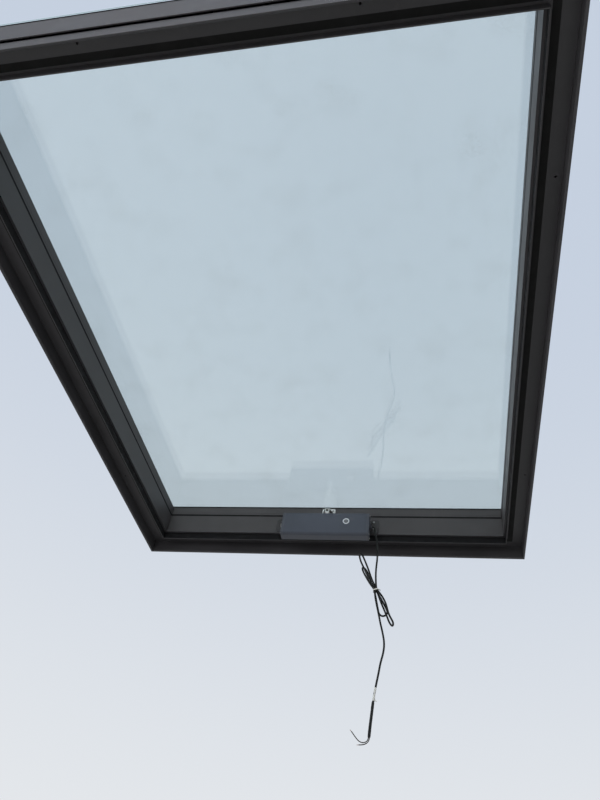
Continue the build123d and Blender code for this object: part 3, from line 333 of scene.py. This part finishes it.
def dress(thing, look):
    """Gives the whole thing one material."""
    thing.data.materials.clear()
    thing.data.materials.append(materials[look])
    if thing.type == "MESH":
        for face in thing.data.polygons:
            face.material_index = 0


slot_of = {subpart["node"]: subpart["material_slot"] for subpart in frame["record"]["subparts"]}
body_of = {node: body for body, held in frame["record"]["behaviour"]["bodies"].items() for node in held}
for name, slot in slot_of.items():
    dress(nodes[name], slot)

# Supply lead: control points in millimetres, from the gland down through the tied hank to the sleeve
LEAD_RADIUS = 0.00375
LEAD_ROUTE = [
    (201.8, 960, 10), (209.5, 960, 9.5), (215.5, 959.6, 4), (217.5, 959, -6), (218, 958.4, -18),
    (220.5, 957.6, -32), (225.5, 956.9, -47), (229, 956, -66), (232, 955, -98), (235, 952, -150),
    (231.8, 949.5, -200), (232.6, 947, -242), (235.5, 944.3, -277), (238.5, 944.2, -298),
    # down through the outer lower loop
    (249, 943, -312), (264, 942, -333), (276, 941.5, -356), (284, 940, -381), (289, 938.5, -402),
    (299, 937, -424), (308, 939, -438), (309.5, 949, -447), (303, 960, -446), (292, 963.5, -429),
    (284, 960, -409), (276, 957, -392), (268, 954, -374), (259, 953, -354), (251, 952.5, -333),
    (243.5, 952.2, -313),
    # up round the long upper loop
    (235.5, 951.7, -291), (227, 949.3, -273), (216, 946, -251), (205, 943, -220), (193, 941, -190),
    (181, 940.5, -161), (171, 944, -140), (161, 954, -129), (157.5, 967, -134), (163, 977, -151),
    (172, 979, -170), (182, 977, -190), (194, 973, -218), (209, 967, -249), (227, 961, -282),
    # the inner lower loop, with its squarer end
    (241.5, 960, -306), (254.5, 961.5, -327), (267, 964, -349), (278, 966.5, -369), (285, 969, -386),
    (275, 970, -399), (262, 968.5, -402), (251, 967, -394), (247, 963, -378), (243, 961, -360),
    (238, 960, -338), (233, 959, -312),
    # the short upper loop
    (225.8, 954.6, -288), (216.5, 953.5, -268), (208, 955.5, -247), (199, 960, -220), (190, 961.5, -201),
    (180, 955, -195), (176, 944, -204), (180, 935, -222), (190, 931.5, -243), (200, 931.5, -261),
    (213, 936, -281), (228.5, 945, -297),
    # and on down to the label and the sleeve
    (232.5, 946.3, -313), (235, 946, -333), (242, 945.4, -365), (251.5, 944.8, -404), (260.5, 944.2, -445),
    (271, 944, -484), (279, 944, -525), (276.5, 944.6, -562), (267, 945.6, -601), (262, 946.6, -640),
    (255.5, 947, -678), (249, 947.5, -727), (245.5, 947.9, -772), (243.2, 947.9, -803),
    (241.2, 947.9, -830), (239.8, 947.9, -861),
]


def round_curve(name, points, radius, look):
    """A tube along one open NURBS line with these control points, in millimetres."""
    data = bpy.data.curves.new(name, "CURVE")
    data.dimensions = "3D"
    data.bevel_depth = radius
    data.bevel_resolution = 5
    data.resolution_u = 8
    data.use_fill_caps = True
    spline = data.splines.new("NURBS")
    spline.points.add(len(points) - 1)
    for point, place in zip(spline.points, points):
        point.co = (*(value / 1000 for value in place), 1.0)
    spline.order_u = 3
    spline.use_endpoint_u = True
    thing = bpy.data.objects.new(name, data)
    scene.collection.objects.link(thing)
    dress(thing, look)
    return thing


def keep(thing, body, slot, *stands_for):
    """Ties a finished piece to its body, and hides the nodes it stands for."""
    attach(thing, body)
    if stands_for:
        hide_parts(*stands_for)
    return thing


# Points nearer than this are one point: in the meshes made here, and in those read from the frame
SAME_POINT = 1e-7
WELD_DISTANCE = 2e-6


def mesh_piece(name, verts, faces, look, smooth=True):
    """A mesh object from points in metres, dressed in one of the materials."""
    mesh = bpy.data.meshes.new(name)
    mesh.from_pydata(verts, [], faces)
    shell = bmesh.new()
    shell.from_mesh(mesh)
    bmesh.ops.remove_doubles(shell, verts=shell.verts, dist=SAME_POINT)
    bmesh.ops.recalc_face_normals(shell, faces=shell.faces)
    shell.to_mesh(mesh)
    shell.free()
    thing = bpy.data.objects.new(name, mesh)
    scene.collection.objects.link(thing)
    dress(thing, look)
    for face in mesh.polygons:
        face.use_smooth = smooth
    return thing


# Degrees between two faces: up to the first they are made one face, from the second their edge is
# rounded, and from the third it is shaded sharp
FLATTEST = 1.5
LEAST_ROUNDED = 32
SHARP_FROM = 60


def softened(name, width, segments=2, look=None):
    """A copy of a CAD node with its sharp edges rounded, which stands for the node."""
    node = nodes[name]
    mesh = node.data.copy()
    shell = bmesh.new()
    shell.from_mesh(mesh)
    bmesh.ops.remove_doubles(shell, verts=shell.verts, dist=WELD_DISTANCE)
    bmesh.ops.dissolve_limit(
        shell,
        angle_limit=math.radians(FLATTEST),
        use_dissolve_boundaries=False,
        verts=shell.verts,
        edges=shell.edges,
    )
    shell.to_mesh(mesh)
    shell.free()
    thing = bpy.data.objects.new(f"{name}_finished", mesh)
    scene.collection.objects.link(thing)
    for face in mesh.polygons:
        face.use_smooth = True
    mesh.set_sharp_from_angle(angle=math.radians(SHARP_FROM))
    rounding = thing.modifiers.new("rounding", "BEVEL")
    rounding.width = width
    rounding.segments = segments
    rounding.limit_method = "ANGLE"
    rounding.angle_limit = math.radians(LEAST_ROUNDED)
    rounding.use_clamp_overlap = True
    flats = thing.modifiers.new("flats", "WEIGHTED_NORMAL")
    flats.weight = 100
    flats.keep_sharp = True
    graph = bpy.context.evaluated_depsgraph_get()
    done = bpy.data.meshes.new_from_object(thing.evaluated_get(graph))
    thing.modifiers.clear()
    thing.data = done
    bpy.data.meshes.remove(mesh)
    dress(thing, look or slot_of[name])
    return keep(thing, body_of[name], slot_of[name], name)


def lathe(name, profile, centre, look, turn=48):
    """A round piece on the actuator's front: (radius, height) pairs turned about an axis along Y."""
    verts = []
    for radius, height in profile:
        for k in range(turn):
            angle = 2 * math.pi * k / turn
            off = Vector((radius * math.cos(angle), -height, radius * math.sin(angle)))
            verts.append(off + Vector(centre))
    faces = []
    for level in range(len(profile) - 1):
        for k in range(turn):
            a = level * turn + k
            b = level * turn + (k + 1) % turn
            faces.append((a, b, b + turn, a + turn))
    return mesh_piece(name, verts, faces, look)


def rings_to_tube(rings, first=0):
    """Faces that join equal rings of points into a tube, with flat ends."""
    verts = [point for ring in rings for point in ring]
    count = len(rings[0])
    faces = []
    for level in range(len(rings) - 1):
        for k in range(count):
            a = first + level * count + k
            b = first + level * count + (k + 1) % count
            faces.append((a, b, b + count, a + count))
    faces.append(tuple(first + k for k in reversed(range(count))))
    faces.append(tuple(first + (len(rings) - 1) * count + k for k in range(count)))
    return verts, faces


def ring_round(place, side, front, radii):
    """Points round a place, one for each radius."""
    points = []
    for k, radius in enumerate(radii):
        angle = 2 * math.pi * k / len(radii)
        points.append(place + (side * math.cos(angle) + front * math.sin(angle)) * radius)
    return points


def frame_along(direction, lean=(0, 1, 0)):
    """Two unit vectors square to a direction and to each other."""
    ahead = Vector(direction).normalized()
    side = ahead.cross(Vector(lean)).normalized()
    return side, ahead.cross(side).normalized()


lead = keep(
    round_curve("supply_lead", LEAD_ROUTE, LEAD_RADIUS, "lead_jacket"),
    "base",
    "lead_jacket",
    "lead_upper",
    "lead_hank",
    "lead_lower",
)


# Wrapped label: crinkled white film with a flap, below the last bend
LABEL_TOP = Vector((0.2535, 0.9471, -0.6915))
LABEL_END = Vector((0.2481, 0.9476, -0.7385))
LABEL_FILM = 0.0003
LABEL_PINCH = 0.0003
FLAP_START = 0.7
FLAP_REACH = 0.0105
FLAP_THICKNESS = 0.00032


def add_label():
    turn = 28
    levels = 24
    run = LABEL_END - LABEL_TOP
    side, front = frame_along(run)
    rings = []
    for level in range(levels + 1):
        share = level / levels
        pinch = LABEL_PINCH * math.exp(-(((share - 0.42) / 0.12) ** 2))
        radii = []
        for k in range(turn):
            angle = 2 * math.pi * k / turn
            crinkle = 0.00016 * math.sin(3 * angle + 9 * share) + 0.0001 * math.sin(7 * angle - 21 * share)
            radii.append(LEAD_RADIUS + LABEL_FILM + crinkle - pinch)
        rings.append(ring_round(LABEL_TOP + run * share, side, front, radii))
    verts, faces = rings_to_tube(rings)
    # the film's free end stands off to the right as a thin flap, longest at the bottom
    rows = 10
    base = len(verts)
    root = LEAD_RADIUS - 0.0005
    for row in range(rows + 1):
        share = row / rows
        place = LABEL_TOP + run * (FLAP_START + (1 - FLAP_START) * share)
        reach = LEAD_RADIUS + 0.0006 + FLAP_REACH * share**3
        lift = 0.0012 * math.sin(5 * share)
        for radius, face in ((root, -0.5), (reach, -0.5), (reach, 0.5), (root, 0.5)):
            verts.append(place + side * radius + front * (lift + FLAP_THICKNESS * face))
    for row in range(rows):
        for k in range(4):
            a = base + row * 4 + k
            b = base + row * 4 + (k + 1) % 4
            faces.append((a, b, b + 4, a + 4))
    faces.append(tuple(base + k for k in reversed(range(4))))
    faces.append(tuple(base + rows * 4 + k for k in range(4)))
    return keep(mesh_piece("wrapped_label", verts, faces, "label"), "base", "label", "lead_label")


# Heat-shrunk sleeve over the lead's end, which tapers at both of its own ends
SLEEVE_ROUTE = [
    (247.6, 947.6, -740), (245.5, 947.9, -772), (243.2, 947.9, -803), (241.2, 947.9, -830),
    (239.8, 947.9, -861.6),
]
SLEEVE_END_RADIUS = 0.0042
SLEEVE_SWELL = 0.0012


def add_sleeve():
    guide = round_curve("sleeve_guide", SLEEVE_ROUTE, 0.0, "lead_jacket")
    graph = bpy.context.evaluated_depsgraph_get()
    line = [v.co.copy() for v in bpy.data.meshes.new_from_object(guide.evaluated_get(graph)).vertices]
    bpy.data.objects.remove(guide)
    lengths = [0.0]
    for before, after in zip(line[:-1], line[1:]):
        lengths.append(lengths[-1] + (after - before).length)
    turn = 32
    rings = []
    for i, place in enumerate(line):
        ahead = line[min(i + 1, len(line) - 1)] - line[max(i - 1, 0)]
        side, front = frame_along(ahead)
        walked = lengths[i]
        left = lengths[-1] - walked
        swell = min(1.0, walked / 0.006) * min(1.0, 0.45 + left / 0.01)
        ripple = 0.00012 * math.sin(walked * 900) + 0.0001 * math.sin(walked * 310 + 1)
        radius = SLEEVE_END_RADIUS + SLEEVE_SWELL * swell + ripple
        radii = []
        for k in range(turn):
            flat = 1 - 0.05 * math.cos(4 * math.pi * k / turn + walked * 14)
            radii.append(radius * flat)
        rings.append(ring_round(place, side, front, radii))
    sleeve = mesh_piece("lead_end_sleeve", *rings_to_tube(rings), "lead_jacket")
    return keep(sleeve, "base", "lead_jacket", "lead_sleeve")


# The two cores that come out of the sleeve, with bare copper tips
CORE_RADIUS = 0.0017
TIP_RADIUS = 0.0009
CORE_ROUTES = [
    [
        (238, 947.9, -857), (238, 947.9, -867), (231, 947.6, -877.5), (219, 947.4, -881),
        (206.5, 947.6, -877), (196, 948, -867), (186.5, 948.2, -855.5), (178.5, 948.2, -846),
    ],
    [
        (241.6, 947.9, -857), (241.6, 948.4, -868), (236, 949.4, -878), (226, 950, -884.5),
        (214, 950.2, -887.1), (206, 950.2, -887.4),
    ],
]
TIP_ROUTES = [
    [(179.3, 948.2, -847), (176.3, 948.2, -843.6), (173.5, 948.1, -841.2)],
    [(206.8, 950.2, -887.4), (203, 950.2, -887.8), (199.5, 950.1, -888.1)],
]


def add_cores():
    cores = []
    for number, route in enumerate(CORE_ROUTES):
        core = round_curve(f"core_{number + 1}", route, CORE_RADIUS, "core")
        cores.append(keep(core, "base", "core", "lead_cores"))
    for number, route in enumerate(TIP_ROUTES):
        tip = round_curve(f"core_tip_{number + 1}", route, TIP_RADIUS, "copper")
        cores.append(keep(tip, "base", None))
    return cores


# Twist tie: a flat plastic-coated ribbon round the hank's waist, its ends twisted together
TIE_MIDDLE = Vector((0.2352, 0.9518, -0.3015))
WAIST_HALF_X = 0.0094
WAIST_HALF_Y = 0.0115
WAIST_SQUARENESS = 0.55
WAIST_TILT = 0.25
TIE_KNOT = -0.4
TIE_TURNS = 2.0
TIE_HALF_WIDTH = 0.0019
RIBBON = ((0, -1), (0.0005, -1), (0.0008, -0.4), (0.0008, 0.4), (0.0005, 1), (0, 1))
TAIL_TURNS = 3.0
TAIL_SECTION = ((-1, -0.35), (1, -0.35), (1, 0.35), (-1, 0.35))


def waist_point(angle, grow):
    """A point on the rounded rectangle round the hank's waist."""
    c, s = math.cos(angle), math.sin(angle)
    x = (WAIST_HALF_X + grow) * math.copysign(abs(c) ** WAIST_SQUARENESS, c)
    y = (WAIST_HALF_Y + grow) * math.copysign(abs(s) ** WAIST_SQUARENESS, s)
    return Vector((x, y, WAIST_TILT * x))


def add_tie():
    steps = 120
    rings = []
    for i in range(steps + 1):
        share = i / steps
        angle = 2 * math.pi * TIE_TURNS * share + TIE_KNOT
        here = waist_point(angle, 0.0004 + 0.0005 * share)
        level = (share - 0.5) * 0.0042 + 0.0006 * math.sin(angle)
        outward = here.normalized()
        ring = []
        for lift, tall in RIBBON:
            ring.append(TIE_MIDDLE + here + outward * lift + Vector((0, 0, level + TIE_HALF_WIDTH * tall)))
        rings.append(ring)
    verts, faces = rings_to_tube(rings)
    # both ends leave at the right-hand front and are twisted round each other
    start = TIE_MIDDLE + waist_point(TIE_KNOT, 0.001)
    tail_steps = 60
    for phase in (0.0, math.pi):
        rings = []
        for i in range(tail_steps + 1):
            share = i / tail_steps
            spiral = 2 * math.pi * TAIL_TURNS * share + phase
            place = start + Vector((0.0105 * share, -0.003 * share, -0.003 * share - 0.004 * share**2))
            off = Vector((0, math.cos(spiral), math.sin(spiral))) * 0.0010
            across = Vector((0, -math.sin(spiral), math.cos(spiral)))
            ring = []
            for a, b in TAIL_SECTION:
                ring.append(place + off + across * (0.0016 * a) + off.normalized() * (0.0009 * b))
            rings.append(ring)
        more, walls = rings_to_tube(rings, len(verts))
        verts += more
        faces += walls
    return keep(mesh_piece("twist_tie", verts, faces, "tie"), "base", "tie", "lead_tie")


on_the_lead = [add_tie(), add_label(), add_sleeve(), *add_cores()]


def flat_band(name, inner, outer, low, high, look, body):
    """A band round the opening between two offsets from its edge, in metres."""
    verts = []
    for offset in (inner, outer):
        for level in (low, high):
            for x, y in ((-1, -1), (1, -1), (1, 1), (-1, 1)):
                verts.append((x * (HALF_WIDTH + offset), y * (HALF_LENGTH + offset), level))
    faces = []
    for k in range(4):
        n = (k + 1) % 4
        faces.append((k, n, 8 + n, 8 + k))
        faces.append((4 + k, 12 + k, 12 + n, 4 + n))
        faces.append((k, 4 + k, 4 + n, n))
        faces.append((8 + k, 8 + n, 12 + n, 12 + k))
    return keep(mesh_piece(name, verts, faces, look, smooth=False), body, None)


# Black enamel border on the outer pane's underside, over everything that the glass would show
flat_band("enamel_border", 0.026, 0.0885, 0.16155, 0.16179, "enamel", "sash")
# Near-black strip on the lining leg, just above the room's plaster: painted shade in the recess between
# frame and plaster
flat_band("painted_shade_black", 0.0074, 0.0081, -0.0305, -0.0012, "painted_shade_black", "base")
# The sash's drip lip, and the rubber strip that it all but closes on; the strip's near-black colour is
# painted shade for the gap line between sash and base
flat_band("sash_lip", 0.0004, 0.0032, 0.0974, 0.1063, "frame_coat", "sash")
flat_band("edge_strip", -0.0003, 0.0034, 0.0886, 0.0967, "painted_shade_black", "base")

# Frame and fittings with their edges rounded as extruded, moulded and punched edges are
PROFILE_EDGE = 0.0009
HOUSING_EDGE = 0.0012
FITTING_EDGE = 0.0006
SMALL_EDGE = 0.0005
SCREW_EDGE = 0.0003
for name in nodes:
    if name.startswith(("base_profile", "sash_profile")):
        softened(name, PROFILE_EDGE)
softened("actuator_housing", HOUSING_EDGE, segments=3)
for name in ("end_cap_left", "end_cap_right", "frame_bracket_left", "frame_bracket_right"):
    softened(name, FITTING_EDGE)
softened("sash_bracket", FITTING_EDGE, look="dull_zinc")
softened("bracket_screws", SCREW_EDGE, look="dark_screw")
for name in ("hinge_fixed_leaves", "hinge_moving_leaves", "chain_outlet"):
    softened(name, SMALL_EDGE)
softened("chain_end", SMALL_EDGE, look="dull_zinc")

# Plain round cover: a satin rim round a darker, slightly domed middle with a small hub, as (radius, height)
COVER_CENTRE = (0.092, 0.936, 0.022)
RIM = [
    (0.0143, 0), (0.0143, 0.0007), (0.0139, 0.0012), (0.0131, 0.00145), (0.0109, 0.00145),
    (0.0103, 0.0011), (0.0101, 0.0004),
]
MIDDLE = [
    (0.0102, 0.0002), (0.0099, 0.0006), (0.0075, 0.00085), (0.0047, 0.00095), (0.0045, 0.0013),
    (0.0042, 0.00155), (0.0022, 0.0017), (0.00002, 0.00175),
]
keep(lathe("cover_rim", RIM, COVER_CENTRE, "cover_disc"), "actuator", "cover_disc", "round_cover")
keep(lathe("cover_middle", MIDDLE, COVER_CENTRE, "cover_middle"), "actuator", None)


# Chain paid out between the housing and the chain end. Its links are laid out at their true length, as when
# the sash is fully open, and then pushed together into the housing where it lies at rest.
CHAIN_LOW = 0.030
CHAIN_HIGH = 0.0645
CHAIN_TRAVEL = 0.38042
CHAIN_Y = 0.960
CHAIN_PITCH = 0.013
CHAIN_TOP_GAP = 0.005
CHAIN_BOTTOM_GAP = 0.012
BLOCK_RADIUS = 0.0045
BLOCK_HALF_WIDTH = 0.0045
PLATE_RADIUS = 0.005
PLATE_NEAR = 0.0046
PLATE_FAR = 0.0071
PIN_RADIUS = 0.0022
PIN_FAR = 0.0077
PIN_SIDES = 16


def gathered(level):
    """Rest height of a point that stands at this level when the chain is fully out."""
    low, high = CHAIN_LOW, CHAIN_HIGH
    halvings = 60
    for _ in range(halvings):
        middle = (low + high) / 2
        share = (middle - CHAIN_LOW) / (CHAIN_HIGH - CHAIN_LOW)
        if middle + share * share * (3 - 2 * share) * CHAIN_TRAVEL < level:
            low = middle
        else:
            high = middle
    return (low + high) / 2


def link_outline(start, end, radius, sides=10):
    """Round-ended link outline in the XZ plane, from one pin's height to the next."""
    points = []
    for k in range(sides + 1):
        angle = math.pi * k / sides
        points.append((radius * math.cos(angle), end + radius * math.sin(angle)))
    for k in range(sides + 1):
        angle = math.pi + math.pi * k / sides
        points.append((radius * math.cos(angle), start + radius * math.sin(angle)))
    return points


def add_chain():
    verts, faces = [], []
    top = CHAIN_HIGH + CHAIN_TRAVEL

    def plate(outline, near, far):
        rings = [[Vector((x, CHAIN_Y + y, z)) for x, z in outline] for y in (near, far)]
        more, walls = rings_to_tube(rings, len(verts))
        verts.extend(more)
        faces.extend(walls)

    count = int((top - CHAIN_LOW - CHAIN_BOTTOM_GAP) / CHAIN_PITCH)
    for index in range(count):
        high = top - CHAIN_TOP_GAP - index * CHAIN_PITCH
        low = high - CHAIN_PITCH
        if index % 2:
            plate(link_outline(low, high, BLOCK_RADIUS), -BLOCK_HALF_WIDTH, BLOCK_HALF_WIDTH)
        else:
            for side in (-1, 1):
                plate(link_outline(low, high, PLATE_RADIUS), side * PLATE_NEAR, side * PLATE_FAR)
        pin = []
        for k in range(PIN_SIDES):
            angle = 2 * math.pi * k / PIN_SIDES
            pin.append((PIN_RADIUS * math.cos(angle), high + PIN_RADIUS * math.sin(angle)))
        for side in (-1, 1):
            plate(pin, side * PLATE_FAR, side * PIN_FAR)
    for vert in verts:
        vert.z = gathered(vert.z)
    chain = mesh_piece("paid_out_chain", verts, faces, "chain_steel", smooth=False)
    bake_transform(chain)


add_chain()

# Floor, lamps and sky. The floor fades into the horizon's colour, so that no edge shows.
FLOOR_LEVEL = -2.6
FLOOR_REACH = 120.0
FADE_START = 5.0
FADE_END = 26.0
HORIZON = (0.8, 0.82, 0.84)
ZENITH = (0.56, 0.63, 0.74)
SKY_LIGHT = (0.96, 0.98, 1.0)
SKY_STRENGTH = 0.62


def add_floor():
    mesh = bpy.data.meshes.new("floor")
    corners = [(x * FLOOR_REACH, y * FLOOR_REACH) for x, y in ((-1, -1), (1, -1), (1, 1), (-1, 1))]
    mesh.from_pydata([(x, y, FLOOR_LEVEL) for x, y in corners], [], [(0, 1, 2, 3)])
    floor = bpy.data.objects.new("floor", mesh)
    scene.collection.objects.link(floor)
    made, t = material("floor")
    speckle = t.noise(3.0, 3.0)
    tone = t.mix(speckle, (0.76, 0.76, 0.75), (0.8, 0.8, 0.79))
    bounced = t.node("ShaderNodeLightPath").outputs["Is Diffuse Ray"]
    tone = t.mix(bounced, tone, (0.3, 0.3, 0.3))
    ground = t.node("ShaderNodeBsdfPrincipled", {"Base Color": tone, "Roughness": 0.8})
    haze = t.node("ShaderNodeEmission", {"Color": HORIZON, "Strength": 1.0})
    place = t.node("ShaderNodeTexCoord").outputs["Object"]
    away = t.node("ShaderNodeVectorMath", {0: place}, operation="LENGTH")
    far = t.span(away.outputs["Value"], FADE_START, FADE_END)
    whole = t.node("ShaderNodeMixShader", {0: far, 1: ground.outputs[0], 2: haze.outputs[0]})
    t.finish(whole.outputs[0])
    mesh.materials.append(made)


def add_lamp(name, place, target, size, power, colour=(1.0, 1.0, 1.0)):
    """A square soft lamp that isn't mirrored by the glass. The sky makes the gloss."""
    data = bpy.data.lights.new(name, "AREA")
    data.size = size
    data.energy = power
    data.color = colour
    lamp = bpy.data.objects.new(name, data)
    lamp.visible_camera = False
    lamp.visible_glossy = False
    scene.collection.objects.link(lamp)
    lamp.location = place
    lamp.rotation_euler = (Vector(target) - Vector(place)).to_track_quat("-Z", "Y").to_euler()


def add_sky():
    world = bpy.data.worlds.new("sky")
    scene.world = world
    world.use_nodes = True
    t = Tree(world)
    path = t.node("ShaderNodeLightPath")
    seen = t.math("MAXIMUM", path.outputs["Is Camera Ray"], path.outputs["Is Glossy Ray"])
    seen = t.math("MAXIMUM", seen, path.outputs["Is Transmission Ray"])
    ray = t.node("ShaderNodeSeparateXYZ", {"Vector": t.node("ShaderNodeTexCoord").outputs["Generated"]})
    height = t.span(ray.outputs["Z"], 0.0, 0.9)
    tone = t.mix(height, HORIZON, ZENITH)
    light = t.node("ShaderNodeBackground", {"Color": SKY_LIGHT, "Strength": SKY_STRENGTH})
    back = t.node("ShaderNodeBackground", {"Color": tone, "Strength": 1.0})
    whole = t.node("ShaderNodeMixShader", {0: seen, 1: light.outputs[0], 2: back.outputs[0]})
    t.node("ShaderNodeOutputWorld", {"Surface": whole.outputs[0]})


add_floor()
add_lamp("key", (-1.4, -2.9, 4.4), (0, 0.2, 0), 2.4, 240.0, (1.0, 0.98, 0.95))
add_lamp("room", (-1.6, -4.0, -1.0), (0, 0.6, 0), 2.6, 50.0)
add_sky()
